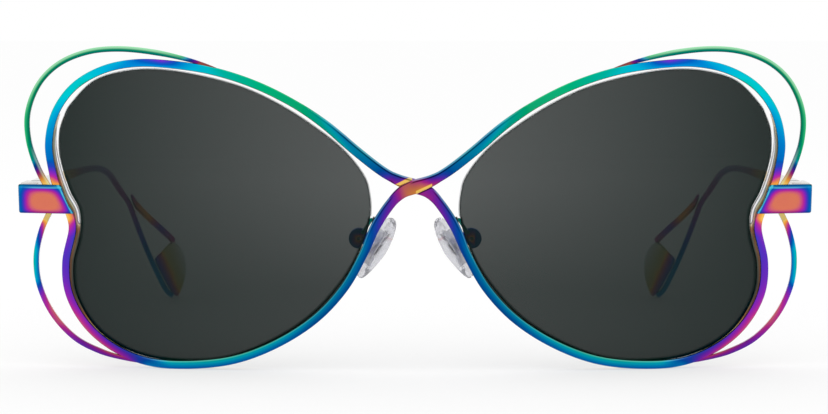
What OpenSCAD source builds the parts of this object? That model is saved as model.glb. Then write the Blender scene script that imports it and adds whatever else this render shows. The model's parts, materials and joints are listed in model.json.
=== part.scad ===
// Wire butterfly sunglasses with a crossed bridge.
// The wearer's left is +X. The front faces -Y, and the rims and the tips of the temples stand on Z = 0.

/* [Front] */
// Radius of the sphere that the whole front follows
front_r = 270; // [250:5:300]
// Height of the crossing at the bridge
cross_z = 34.8; // [34.6:0.1:35]
// Width of the flat strands
strand_w = 1.5; // [1.3:0.05:1.8]
// How much wider each strand is at the crossing
cross_extra_w = 1.2; // [0.8:0.05:1.4]
// Distance from the crossing over which a strand loses most of that
cross_reach = 5; // [4:0.5:6]
// How much wider the strands are beside the nose
nose_extra_w = 0.4; // [0.2:0.05:0.6]
// Distance from the crossing to where the upper strand has its own width
upper_swell = 27; // [20:1:34]
// Distance from the crossing to where the lower strand has its own width
lower_swell = 16; // [12:1:20]
// Depth of the flat strands, front to back
strand_d = 1.2; // [0.8:0.05:1.6]
// Half width of the stretch where the rear strand dips behind the front one
dip_half_w = 5; // [4.2:0.1:6]
// Sideways clearance of the front strand in the rear strand's dip
dip_gap = 0.05; // [0.03:0.01:0.2]
// Width of the wing wires
wing_w = 1.05; // [0.8:0.05:1.3]
// Depth of the wing wires, front to back
wing_d = 1.05; // [0.8:0.05:1.3]
// Width that a wing wire has left where it runs out along the rim, as a share of its full width
wing_end_share = 0.35; // [0.2:0.05:0.6]

/* [Lenses] */
// Thickness of a lens
lens_t = 1.8; // [1.4:0.1:2.2]
// How far the lens face lies behind the face of the strands
lens_set_back = 1.4; // [1.2:0.05:1.6]
// Width of the lens wire, outward from the lens edge
lens_wire_w = 0.85; // [0.7:0.05:1]
// How far the lens wire reaches from the lens edge at its upper end, where it is brazed to the strand
lens_wire_top_w = 1.35; // [1.2:0.05:1.4]
// Gap between the lens and the upper end of the lens wire
lens_wire_top_gap = 0.6; // [0.4:0.05:0.7]
// Depth of the lens wire behind the strands
lens_wire_d = 2; // [1.8:0.1:2.6]
// Depth of the groove in the lens edge
groove_deep = 0.3; // [0.2:0.05:0.4]
// Width of the groove in the lens edge
groove_w = 0.5; // [0.4:0.05:0.6]
// Clearance of the ridge and the thread in the groove
groove_gap = 0.05; // [0.02:0.01:0.08]
// How far the thread stands out of the groove
thread_out = 0.2; // [0.1:0.05:0.25]

/* [End pieces] */
// Top edge of the plaque
plaque_top = 34.7; // [34.2:0.1:35.2]
// Bottom edge of the plaque
plaque_bottom = 29.3; // [28.8:0.1:29.8]
// Inner end of the plaque's top edge, from the middle of the frame
plaque_in_top = 67.2; // [67:0.1:67.6]
// Width of the plaque's top edge
plaque_w = 8.2; // [8:0.1:8.8]
// How much further in the plaque's bottom edge reaches
plaque_slant = 2.7; // [2.4:0.1:2.9]
// How far the plaque stands in front of the strands
plaque_proud = 0.5; // [0.3:0.05:0.8]
// Depth of the plaque
plaque_d = 1.4; // [1.1:0.05:1.6]
// Depth of the end piece's plate behind the plaque
end_plate_d = 1.6; // [1.4:0.1:2.2]
// How far the end piece's plate is set in from the plaque's edge
end_inset = 0.4; // [0.2:0.05:0.8]

/* [Hinges] */
// Distance of the hinge axis in from the plaque's outer edge
hinge_in = 2.2; // [2:0.1:2.4]
// Distance of the hinge axis behind the front of the frame
hinge_y = 18.5; // [17.5:0.1:20]
// Middle height of the hinge
hinge_z = 32.6; // [32.3:0.1:32.8]
// Height of the hinge
hinge_h = 4.8; // [4.4:0.1:5]
// Radius of the hinge knuckles
knuckle_r = 1.25; // [1.15:0.05:1.3]
// Height of the temple's knuckle
leaf_knuckle_h = 1.8; // [1.6:0.1:2]
// Gap between neighbouring knuckles
knuckle_gap = 0.05; // [0.03:0.01:0.1]
// Radius of the hinge screw's shank
hinge_screw_r = 0.6; // [0.5:0.05:0.7]
// Radius of the hinge screw's head
hinge_head_r = 0.95; // [0.9:0.05:1]
// Height of the hinge screw's head
hinge_head_h = 0.5; // [0.4:0.05:0.6]
// Radial clearance of screws in their bores
screw_gap = 0.04; // [0.02:0.01:0.08]
// Thickness of the temple's leaf
leaf_t = 0.7; // [0.5:0.05:0.8]
// Length of the temple's leaf behind the knuckle
leaf_len = 8; // [6:0.5:10]
// Gap between the end piece's rear face and the temple's front face
butt_gap = 0.3; // [0.2:0.05:0.5]

/* [Temples] */
// Height of the temple at the hinge
arm_front_h = 3.2; // [2.8:0.1:3.6]
// Height of the temple where it is thinnest
arm_rear_h = 1.4; // [1.2:0.1:1.6]
// Thickness of the temple at the hinge
arm_front_t = 1.4; // [1.2:0.1:1.6]
// Thickness of the temple where it is thinnest
arm_rear_t = 1.3; // [1.1:0.1:1.5]
// Diameter of the wires of the open tip
branch_d = 1.2; // [1:0.05:1.3]
// Thickness of the tip's paddle
paddle_t = 1.4; // [1.1:0.1:1.8]

/* [Nose pads] */
// Length of a nose pad
pad_len = 13; // [11:0.5:14]
// Width of a nose pad
pad_w = 7; // [6:0.5:8]
// Thickness of a nose pad
pad_t = 2.2; // [1.9:0.1:2.6]
// Lean of the pads, with their tops towards each other
pad_lean = 30; // [25:1:33]
// Turn of the pads' faces towards the back
pad_turn = 25; // [15:1:30]
// Sideways place of the pad's screw
pad_x = 10.7; // [10.4:0.1:11]
// Distance of the pad's screw behind the front of the frame
pad_y = 9.5; // [9:0.1:10.5]
// Height of the pad's screw
pad_z = 24.6; // [24.2:0.1:25]
// Distance from the pad's screw to the middle of the pad
pad_reach = 3.8; // [3.7:0.1:4.2]
// Diameter of the pad arm's wire
pad_arm_d = 0.9; // [0.7:0.05:1]
// Depth of the pad box, front to back
box_d = 3; // [2.6:0.1:3.4]
// Radius of the pad box
box_r = 1.9; // [1.6:0.1:2.1]
// Distance from the pad's screw to the flat on the pad box's nose side
box_in = 1.2; // [1:0.1:1.3]
// Slot in the pad box
slot_w = 1.2; // [1:0.05:1.4]
// Clearance of the core's tab in the slot, on each side
tab_gap = 0.1; // [0.05:0.01:0.15]
// Radius of the pad screw's shank
pad_screw_r = 0.4; // [0.3:0.05:0.45]
// Radius of the pad screw's head
pad_head_r = 0.75; // [0.6:0.05:0.8]
// Height of the pad screw's head
pad_head_h = 0.35; // [0.3:0.05:0.4]
// Thickness of the core's plate
core_t = 0.4; // [0.3:0.05:0.5]
// Width of the core's plate
core_w = 2.6; // [2:0.1:3]
// Length of the core's plate
core_len = 7; // [5:0.5:8]

/* [Hidden] */

// Sides of the wires, round detail, and steps between an outline's points
wire_sides = 8;
small_fn = 48;
sphere_fn = 360;
outline_steps = 5;
wire_steps = 3;
// A cut reaches this far past what it cuts
past = 1;
// Film of braze between a wire's end and the face that it is brazed to
braze_gap = 0.02;
// Longer than anything on the frame, for cuts that go right through
through = 200;
// Room around a knuckle or tab that turns in its slot
turn_gap = 0.15;
// Driver slot in a screw's head
driver_slot_w = 0.3;
driver_slot_deep = 0.2;

// Outlines and centre lines on the left half, seen from the front: distance from the middle, height.

// Strand above the lens, from the crossing to the plaque
upper_line = [
  [0, cross_z + 0.1], [3.2, 36.1], [6.6, 38.1], [11.2, 41.7], [16.9, 46.5], [22.7, 50.35], [29.7, 53.9],
  [37.4, 56.4], [45.1, 57.65], [52.5, 57.9], [59, 56.65], [64.5, 53.4], [68.15, 48.5], [69.5, 42.6],
  [68.75, 37], [67.9, 34.1]
];
// Strand below the lens, from the crossing to the plaque
lower_line = [
  [0, cross_z + 0.1], [2.65, 33.7], [5, 31.2], [7.5, 27.25], [9.7, 22.2], [13.4, 15.7], [18.9, 9.8],
  [26.3, 5], [34.5, 1.85], [43.5, strand_w / 2 + 0.03], [51.1, 1.35], [57.6, 4.1], [62.6, 8.4], [65.7, 14],
  [66.3, 20], [65, 26.3], [65.6, 29.45]
];
// Wing above the plaque, from the rim to the plaque
upper_wing_line = [
  [36.5, 57], [41.5, 58.25], [48.6, 59.8], [55.8, 60.5], [62, 59.9], [67.45, 57.7], [71.4, 53.9],
  [73.6, 48.5], [73.5, 43], [71.75, 37.6], [69.8, 34], [68.6, 32]
];
// Wing below the plaque, from the rim to the plaque
lower_wing_line = [
  [50, 0.9], [54.5, 1.7], [59.8, 3.1], [64.9, 5.6], [69.2, 10.1], [71.7, 15.6], [72.2, 21],
  [71.1, 26], [69.4, 29.6], [68.4, 31.6]
];
// Edge of the lens, from the end of the lens wire beside the nose, over the top and round
lens_line = [
  [8.4, 29.2], [8.5, 33.2], [9.6, 36.9], [13.5, 41.8], [19.1, 46.2], [25.4, 50.15], [32.1, 53.25],
  [39.7, 55.35], [47.6, 56.6], [54.5, 56.4], [60.8, 54.5], [65.25, 50.2], [66.65, 47.7], [67.6, 44.5],
  [67.45, 39.7], [65.65, 33.8], [63.7, 29.8], [63.7, 25], [65, 19.5], [64.3, 13.2], [60.2, 6.8],
  [53.1, 2.7], [44.1, 1.3], [35.4, 2.1], [26.7, 5.6], [19.1, 10.8], [13, 17.9], [9.6, 24.6]
];
// Which of those points is the upper end of the lens wire, and where the wire has come to the lens
lens_wire_start = 12;
lens_wire_meets = 14;

// Places that follow the plaque
plaque_out = plaque_in_top + plaque_w;
plaque_in_bottom = plaque_in_top - plaque_slant;
hinge_x = plaque_out - hinge_in;

// The temple's centre line, as distance from the middle, distance behind the front, and height
arm_x = hinge_x + arm_front_t / 2 + 0.4;
arm_z = 33.3;
arm_start_y = hinge_y + knuckle_r + 0.2;
arm_line = [
  [arm_x, arm_start_y, arm_z], [arm_x, hinge_y + 6, arm_z], [arm_x, hinge_y + 12, arm_z],
  [arm_x - 1.1, hinge_y + 23.5, 33.6], [71.6, 62, 34], [70.1, 82, 34], [69.2, 96, 33.1], [68.4, 105, 31.4],
  [67.7, 111.5, 29], [66.8, 116, 26.6]
];
// The open tip is drawn on a slanted plane: along it from the split, and across it inwards
tip_start = [65.4, 120, 24.14];
tip_along = unit([-0.207, 0.689, -0.695]);
tip_across = unit(cross(cross(tip_along, [-0.792, 0.299, 0.532]), tip_along));
outer_branch = [[0, -0.3], [6, -0.5], [12, -0.7], [19, -0.8], [26, -0.7], [31.5, -0.4], [34.2, 0.3]];
inner_branch = [[-1.8, 1.05], [1.7, 1.2], [6, 2.2], [11, 3.7], [15, 4.9], [18.3, 5.8]];
// The paddle's edge: inner corner, down the inner side, round the foot, up beside the wire
paddle_edge = [
  [18.9, 5.2], [20.6, 6.5], [23.5, 7], [27, 6.7], [30.8, 5.4], [33.6, 3.6], [35.45, 1.8],
  [34.9, 1.05], [31.6, 0.4], [26, 0.05], [21.5, -0.05], [20.4, 0.4], [19.8, 2.3]
];

// Rings of the arm: where its taper starts, where it is thinnest, and where the open tip splits off
arm_full = 2 * wire_steps;
arm_slim = 5 * wire_steps;
arm_split = (len(arm_line) - 1) * wire_steps;

front_centre_z = cross_z;
// The plaque's inner edge slants, with a bend above its middle
plaque_outline = [
  [plaque_out, plaque_top], [plaque_in_top, plaque_top],
  [plaque_in_top - 0.85, (plaque_top + plaque_bottom) / 2 + 0.4],
  [plaque_in_bottom + 1.2, (plaque_top + plaque_bottom) / 2 - 1.1],
  [plaque_in_bottom, plaque_bottom], [plaque_out - 0.1, plaque_bottom]
];
end_plate_outline = [
  [plaque_out - end_inset, plaque_top - end_inset], [plaque_in_top + end_inset, plaque_top - end_inset],
  [plaque_in_bottom + 2 * end_inset, plaque_bottom + end_inset],
  [plaque_out - end_inset, plaque_bottom + end_inset]
];

hinge_top = hinge_z + hinge_h / 2;
hinge_bottom = hinge_z - hinge_h / 2;
leaf_slot_h = leaf_knuckle_h + 2 * knuckle_gap;
// The leaf's plate is this much lower than the temple, above and below
leaf_inset = 0.3;

// A point of the open tip, from its place along and across the slanted plane
function tip_point(p) = tip_start + p[0] * tip_along + p[1] * tip_across;
tip_normal = cross(tip_along, tip_across);
paddle_middle = [27.5, 3];
// The slanted plane at the middle of the paddle
tip_at = tip_point(paddle_middle);
tip_frame = [for (k = [0:2]) [tip_along[k], tip_across[k], tip_normal[k], tip_at[k]]];

// How far a face at the given set-back lies behind the very front, at one place on the front
function sag(x, z, back = 0) =
  front_r - sqrt(pow(front_r - back, 2) - x * x - pow(z - front_centre_z, 2));

// A smooth curve through points, one stretch at a time
function curve_point(a, b, c, d, t) =
  b + 0.5 * t * (c - a + t * (2 * a - 5 * b + 4 * c - d + t * (3 * (b - c) + d - a)));
function open_curve(p, steps) = [
  for (i = [0:len(p) - 2], k = [0:steps - 1])
    curve_point(p[max(i - 1, 0)], p[i], p[i + 1], p[min(i + 2, len(p) - 1)], k / steps),
  p[len(p) - 1]
];
function closed_curve(p, steps) = [
  for (i = [0:len(p) - 1], k = [0:steps - 1])
    curve_point(p[(i + len(p) - 1) % len(p)], p[i], p[(i + 1) % len(p)], p[(i + 2) % len(p)], k / steps)
];
// Share of a paddle's or pad's thickness that is at its full outline, and what is left of that at its faces
rim_share = 0.6;
face_share = 0.82;
// The paddles reach furthest back
frame_depth = max([for (p = closed_curve(paddle_edge, wire_steps))
  tip_point(p)[1] + rim_share * paddle_t / 2 * tip_normal[1]]);
function unit(v) = v / norm(v);
function direction(c, i) = unit(c[min(i + 1, len(c) - 1)] - c[max(i - 1, 0)]);
function left_of(v) = [-v[1], v[0]];
function reversed(c) = [for (i = [len(c) - 1:-1:0]) c[i]];
function mirrored(c) = [for (p = c) [-p[0], p[1]]];

// A flat ribbon along a curve, its sides at two distances to the left of it
function ribbon(c, a, b) = concat(
  [for (i = [0:len(c) - 1]) c[i] + a[i] * left_of(direction(c, i))],
  reversed([for (i = [0:len(c) - 1]) c[i] + b[i] * left_of(direction(c, i))])
);
function even(c, w) = [for (p = c) w];

// The whole strand, which is wider beside the nose and most at the crossing
strand_curve = open_curve(
  concat(reversed(mirrored(lower_line)), [for (i = [1:len(upper_line) - 1]) upper_line[i]]), outline_steps);
function extra_w(far, swell) =
  lookup(far, [[0, cross_extra_w], [cross_reach, nose_extra_w], [0.6 * swell, nose_extra_w], [swell, 0]]);
function strand_half(p, extra) = strand_w / 2 + extra
  + extra_w(norm(p - [0, cross_z]), p[1] > cross_z ? upper_swell : lower_swell) / 2;
function strand_outline(extra) = ribbon(strand_curve,
  [for (p = strand_curve) -strand_half(p, extra)], [for (p = strand_curve) strand_half(p, extra)]);

// The lens edge, and the sides of the lens wire, which leaves the strand and closes up on the lens
lens_edge = closed_curve(lens_line, outline_steps);
wire_from = lens_wire_start * outline_steps;
wire_meets = lens_wire_meets * outline_steps;
function wire_out(i) = lookup(i, [
  [wire_meets + outline_steps, lens_wire_top_w], [wire_meets + 3 * outline_steps, lens_wire_w]]);
function wire_in(i) = lookup(i, [[wire_from, lens_wire_top_gap], [wire_meets, thread_out + groove_gap]]);
function lens_direction(i) =
  unit(lens_edge[(i + 1) % len(lens_edge)] - lens_edge[(i + len(lens_edge) - 1) % len(lens_edge)]);
function lens_offset(i, out) =
  lens_edge[i % len(lens_edge)] + out * left_of(lens_direction(i % len(lens_edge)));
function lens_band(first, last, inner, outer, slant = 0) = concat(
  [for (i = [first:last]) lens_offset(i, inner)],
  [for (i = [last - slant:-1:first + slant]) lens_offset(i, outer)]
);

// Solids that lie on the curved front, between two set-backs
module shell(front, back) {
  intersection() {
    children();
    difference() {
      translate([0, front_r, front_centre_z]) sphere(r = front_r - front, $fn = sphere_fn);
      translate([0, front_r, front_centre_z]) sphere(r = front_r - back, $fn = sphere_fn);
    }
  }
}
// Extrudes a front-view outline from well before the front to well behind it
module upright(outline) {
  translate([0, front_r / 4, 0]) rotate([90, 0, 0])
    linear_extrude(height = front_r / 3) polygon(outline);
}
// The strands stop at the end pieces
module both_plaques() {
  upright(plaque_outline);
  mirror([1, 0, 0]) upright(plaque_outline);
}
// Moves everything so that the frame stands centred on the origin, front to back
module placed() {
  translate([0, -frame_depth / 2, 0]) children();
}

// A closed solid through rings of points
module skin(rings) {
  n = len(rings[0]);
  polyhedron(
    points = [for (r = rings, p = r) p],
    faces = concat(
      [[for (i = [n - 1:-1:0]) i]],
      [for (k = [0:len(rings) - 2], i = [0:n - 1])
        [k * n + i, k * n + (i + 1) % n, (k + 1) * n + (i + 1) % n, (k + 1) * n + i]],
      [[for (i = [0:n - 1]) (len(rings) - 1) * n + i]]
    )
  );
}
// A plate about its outline's plane, with the edges of both faces sloped off
module pillow(outline, thickness) {
  rim = rim_share * thickness;
  linear_extrude(height = rim, center = true) polygon(outline);
  for (side = [0, 1]) mirror([0, 0, side]) translate([0, 0, rim / 2])
    linear_extrude(height = (thickness - rim) / 2, scale = face_share) polygon(outline);
}
// Rings across a wire, their height kept as upright as the wire's direction allows
function wire_ring(c, i, t, h) =
  let (d = direction(c, i), s = unit(cross(d, [0, 0, 1])), u = cross(s, d))
  [for (k = [0:wire_sides - 1])
    c[i] + t / 2 * cos(360 * (k + 0.5) / wire_sides) / cos(180 / wire_sides) * s
      + h / 2 * sin(360 * (k + 0.5) / wire_sides) / cos(180 / wire_sides) * u];
module wire(c, t, h) {
  skin([for (i = [0:len(c) - 1]) wire_ring(c, i, t[i], h[i])]);
}

module front_strand() {
  color([0.1, 0.55, 0.75]) placed() difference() {
    shell(0, strand_d) upright(strand_outline(0));
    both_plaques();
  }
}

module rear_strand() {
  color([0.2, 0.45, 0.75]) placed() difference() {
    mirror([1, 0, 0]) shell(0, 2 * strand_d) upright(strand_outline(0));
    both_plaques();
    // Room for the front strand
    difference() {
      upright(strand_outline(dip_gap));
      translate([0, front_r, front_centre_z]) sphere(r = front_r - strand_d, $fn = sphere_fn);
    }
    // Away from the crossing the strand has its own depth
    for (side = [-1, 1]) intersection() {
      translate([side * (dip_half_w + through / 2), 0, 0]) cube([through, through, through], center = true);
      translate([0, front_r, front_centre_z]) sphere(r = front_r - strand_d, $fn = sphere_fn);
    }
  }
}

module wing(line, blocker) {
  c = open_curve(line, outline_steps);
  // The wing runs out to a thin end along the rim
  half = [for (i = [0:len(c) - 1])
    wing_w / 2 * (wing_end_share + (1 - wing_end_share) * min(1, i / (2 * outline_steps)))];
  color([0.3, 0.75, 0.5]) placed() difference() {
    shell(strand_d - wing_d, strand_d) upright(ribbon(c, -half, half));
    upright(blocker);
    upright(plaque_outline);
  }
}
module upper_wing() {
  wing(upper_wing_line, strand_outline(0));
}
module lower_wing() {
  wing(lower_wing_line, mirrored(strand_outline(0)));
}

// The ridge on the lens wire and the thread lie at mid thickness
groove_mid = lens_set_back + lens_t / 2;

module lens_wire() {
  color([0.65, 0.5, 0.3]) placed() {
    shell(strand_d, strand_d + lens_wire_d) upright(concat(
      [for (i = [wire_from:wire_meets]) lens_offset(i, wire_in(i))],
      [for (i = [wire_meets:len(lens_edge)]) lens_offset(i, groove_gap / 2)],
      [for (i = [len(lens_edge):-1:wire_from]) lens_offset(i, wire_out(i))]
    ));
    // The ridge runs out a step short of the wire's end
    shell(groove_mid - groove_w / 2 + groove_gap, groove_mid + groove_w / 2 - groove_gap)
      upright(lens_band(wire_meets + 1, len(lens_edge) - 1, groove_gap - groove_deep, lens_wire_w / 2, 1));
  }
}

module lens_thread() {
  color([0.9, 0.92, 0.95]) placed()
    shell(groove_mid - groove_w / 2 + groove_gap, groove_mid + groove_w / 2 - groove_gap)
      upright(lens_band(0, wire_meets, groove_gap - groove_deep, thread_out));
}

module lens() {
  color([0.25, 0.28, 0.27]) placed() difference() {
    shell(lens_set_back, lens_set_back + lens_t) upright(lens_edge);
    shell(groove_mid - groove_w / 2, groove_mid + groove_w / 2) difference() {
      upright([for (i = [0:len(lens_edge) - 1]) lens_offset(i, past)]);
      upright([for (i = [0:len(lens_edge) - 1]) lens_offset(i, -groove_deep)]);
    }
  }
}

module end_plaque() {
  color([0.75, 0.25, 0.5]) placed()
    shell(-plaque_proud, plaque_d - plaque_proud) upright(plaque_outline);
}

module end_piece() {
  lug_in = hinge_x - knuckle_r;
  wall_in = hinge_x + knuckle_r + turn_gap;
  lug_out = plaque_out - end_inset / 2;
  lug_front = sag(hinge_x, hinge_z, plaque_d - plaque_proud + end_plate_d / 2);
  lug_rear = hinge_y - knuckle_r;
  color([0.8, 0.78, 0.75]) placed() difference() {
    union() {
      shell(plaque_d - plaque_proud, plaque_d - plaque_proud + end_plate_d) upright(end_plate_outline);
      translate([lug_in, lug_front, hinge_bottom])
        cube([lug_out - lug_in, lug_rear - lug_front, hinge_h]);
      translate([wall_in, lug_front, hinge_bottom])
        cube([lug_out - wall_in, arm_start_y - butt_gap - lug_front, hinge_h]);
      translate([hinge_x - knuckle_r, hinge_y - knuckle_r, hinge_bottom])
        cube([lug_out - lug_in, knuckle_r, hinge_h]);
      translate([hinge_x, hinge_y, hinge_bottom]) cylinder(r = knuckle_r, h = hinge_h, $fn = small_fn);
    }
    // Slot for the temple's knuckle
    translate([hinge_x, hinge_y, hinge_z])
      cylinder(r = knuckle_r + turn_gap, h = leaf_slot_h, center = true, $fn = small_fn);
    translate([lug_in - past, hinge_y - knuckle_r / 2, hinge_z - leaf_slot_h / 2])
      cube([knuckle_r + past, 2 * knuckle_r, leaf_slot_h]);
    // Bore for the screw, and the seat of its head
    translate([hinge_x, hinge_y, hinge_bottom - past])
      cylinder(r = hinge_screw_r + screw_gap, h = hinge_h + 2 * past, $fn = small_fn);
    translate([hinge_x, hinge_y, hinge_top - hinge_head_h])
      cylinder(r = hinge_head_r + screw_gap, h = hinge_head_h + past, $fn = small_fn);
  }
}

module hinge_screw() {
  color([0.85, 0.85, 0.85]) placed() difference() {
    translate([hinge_x, hinge_y, hinge_bottom]) union() {
      cylinder(r = hinge_screw_r, h = hinge_h, $fn = small_fn);
      translate([0, 0, hinge_h - hinge_head_h]) cylinder(r = hinge_head_r, h = hinge_head_h, $fn = small_fn);
    }
    translate([hinge_x, hinge_y, hinge_top])
      cube([2 * hinge_head_r + past, driver_slot_w, 2 * driver_slot_deep], center = true);
  }
}

module hinge_leaf() {
  leaf_out = arm_x - arm_front_t / 2;
  color([0.8, 0.8, 0.8]) placed() difference() {
    union() {
      translate([hinge_x, hinge_y, hinge_z])
        cylinder(r = knuckle_r, h = leaf_knuckle_h, center = true, $fn = small_fn);
      translate([leaf_out - leaf_t, hinge_y, hinge_z - leaf_knuckle_h / 2])
        cube([leaf_t, knuckle_r + leaf_len, leaf_knuckle_h]);
      translate([leaf_out - leaf_t, arm_start_y, arm_z - arm_front_h / 2 + leaf_inset])
        cube([leaf_t, leaf_len - leaf_inset, arm_front_h - 2 * leaf_inset]);
    }
    translate([hinge_x, hinge_y, hinge_z])
      cylinder(r = hinge_screw_r + screw_gap, h = leaf_knuckle_h + past, center = true, $fn = small_fn);
  }
}

// The arm tapers from the end of the leaf's stretch to its thin wire, and is round past the split
function arm_size(i, front, rear) =
  i >= arm_split ? branch_d
  : front + (rear - front) * min(1, max(0, i - arm_full) / (arm_slim - arm_full));
module temple_arm() {
  c = open_curve(concat(arm_line, [for (p = outer_branch) tip_point(p)]), wire_steps);
  thick = [for (i = [0:len(c) - 1]) arm_size(i, arm_front_t, arm_rear_t)];
  high = [for (i = [0:len(c) - 1]) arm_size(i, arm_front_h, arm_rear_h)];
  color([0.2, 0.2, 0.25]) placed() wire(c, thick, high);
}

module temple_branch() {
  c = open_curve([for (p = inner_branch) tip_point(p)], wire_steps);
  color([0.3, 0.15, 0.3]) placed() wire(c, even(c, branch_d), even(c, branch_d));
}

module temple_tip() {
  color([0.4, 0.38, 0.15]) placed() multmatrix(tip_frame)
    pillow([for (p = closed_curve(paddle_edge, wire_steps)) p - paddle_middle], paddle_t);
}

// Frame of the pad: its screw at the middle, the nose on the -X side
module at_pad() {
  placed() translate([pad_x, pad_y, pad_z]) rotate([0, -pad_lean, 0]) children();
}
tab_r = 0.95;
tab_h = 1.2;
tab_w = slot_w - 2 * tab_gap;

// The arm leaves the back of the lens wire and ends on the front of the box, above the screw
pad_arm_root = [8.2, sag(8.2, 28.5, strand_d + lens_wire_d) + braze_gap, 28.5];
pad_arm_up = box_r - pad_arm_d / 2 - 0.1;
pad_arm_end = [
  pad_x - pad_arm_up * sin(pad_lean), pad_y - box_d / 2 - braze_gap, pad_z + pad_arm_up * cos(pad_lean)
];
pad_arm_line = [
  pad_arm_root, pad_arm_root + [0.1, 1.5, -0.1], [8.9, 6.2, 27.4], [9.7, 6.8, 26.1],
  pad_arm_end - [0, 0.7, 0], pad_arm_end
];
module pad_arm() {
  c = open_curve(pad_arm_line, wire_steps);
  color([0.75, 0.7, 0.6]) placed() skin([
    for (i = [0:len(c) - 1])
      let (d = direction(c, i), s = unit(cross(d, [0.6, 0, 0.8])), u = cross(s, d))
      [for (k = [0:wire_sides - 1])
        c[i] + pad_arm_d / 2 * (cos(360 * k / wire_sides) * s + sin(360 * k / wire_sides) * u)]
  ]);
}

module pad_box() {
  color([0.7, 0.68, 0.62]) at_pad() difference() {
    rotate([90, 0, 0]) cylinder(r = box_r, h = box_d, center = true, $fn = small_fn);
    translate([-box_r - box_in, -box_d, -box_r]) cube([box_r, 2 * box_d, 2 * box_r]);
    translate([-box_in - past, -slot_w / 2, -box_r])
      cube([past + box_in + tab_r + turn_gap, slot_w, 2 * box_r]);
    rotate([90, 0, 0]) cylinder(r = pad_screw_r + screw_gap, h = box_d + past, center = true, $fn = small_fn);
  }
}

module pad_screw() {
  color([0.85, 0.85, 0.85]) at_pad() difference() {
    union() {
      rotate([90, 0, 0]) cylinder(r = pad_screw_r, h = box_d, center = true, $fn = small_fn);
      translate([0, box_d / 2, 0]) rotate([-90, 0, 0])
        cylinder(r = pad_head_r, h = pad_head_h, $fn = small_fn);
    }
    translate([0, box_d / 2 + pad_head_h, 0])
      cube([2 * pad_head_r + past, driver_slot_w, driver_slot_deep], center = true);
  }
}

module pad_core() {
  color([0.8, 0.8, 0.78]) at_pad() difference() {
    union() {
      rotate([90, 0, 0]) cylinder(r = tab_r, h = tab_w, center = true, $fn = small_fn);
      translate([-pad_reach + core_t / 2, -tab_w / 2, -tab_h / 2])
        cube([pad_reach - core_t / 2, tab_w, tab_h]);
      translate([-pad_reach, 0, 0]) rotate([0, 0, -pad_turn])
        cube([core_t, core_w, core_len], center = true);
    }
    rotate([90, 0, 0]) cylinder(r = pad_screw_r + screw_gap, h = box_d, center = true, $fn = small_fn);
  }
}

pad_sides = 32;
module nose_pad() {
  pad_outline = [for (i = [0:pad_sides - 1]) let (a = 360 * i / pad_sides)
    [pad_w / 2 * cos(a), pad_len / 2 * sin(a)]];
  color([0.9, 0.92, 0.93]) at_pad() difference() {
    translate([-pad_reach, 0, 0]) rotate([0, 0, -pad_turn]) rotate([90, 0, 90])
      pillow(pad_outline, pad_t);
    // Pocket that the core is moulded into
    translate([-pad_reach, 0, 0]) rotate([0, 0, -pad_turn]) cube([core_t, core_w, core_len], center = true);
    translate([-pad_reach + core_t / 2, -tab_w / 2, -tab_h / 2]) cube([pad_reach, tab_w, tab_h]);
  }
}

front_strand();
rear_strand();
upper_wing();  // left_upper_wing
lower_wing();  // left_lower_wing
lens_wire();  // left_lens_wire
lens_thread();  // left_lens_thread
lens();  // left_lens
end_plaque();  // left_end_plaque
end_piece();  // left_end_piece
hinge_screw();  // left_hinge_screw
hinge_leaf();  // left_hinge_leaf
temple_arm();  // left_temple_arm
temple_branch();  // left_temple_branch
temple_tip();  // left_temple_tip
pad_arm();  // left_pad_arm
pad_box();  // left_pad_box
pad_screw();  // left_pad_screw
pad_core();  // left_pad_core
nose_pad();  // left_nose_pad
mirror([1, 0, 0]) upper_wing();  // right_upper_wing
mirror([1, 0, 0]) lower_wing();  // right_lower_wing
mirror([1, 0, 0]) lens_wire();  // right_lens_wire
mirror([1, 0, 0]) lens_thread();  // right_lens_thread
mirror([1, 0, 0]) lens();  // right_lens
mirror([1, 0, 0]) end_plaque();  // right_end_plaque
mirror([1, 0, 0]) end_piece();  // right_end_piece
mirror([1, 0, 0]) hinge_screw();  // right_hinge_screw
mirror([1, 0, 0]) hinge_leaf();  // right_hinge_leaf
mirror([1, 0, 0]) temple_arm();  // right_temple_arm
mirror([1, 0, 0]) temple_branch();  // right_temple_branch
mirror([1, 0, 0]) temple_tip();  // right_temple_tip
mirror([1, 0, 0]) pad_arm();  // right_pad_arm
mirror([1, 0, 0]) pad_box();  // right_pad_box
mirror([1, 0, 0]) pad_screw();  // right_pad_screw
mirror([1, 0, 0]) pad_core();  // right_pad_core
mirror([1, 0, 0]) nose_pad();  // right_nose_pad
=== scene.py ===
# Wire butterfly sunglasses with rainbow plating, standing open on a white table.
import json
import math

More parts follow.
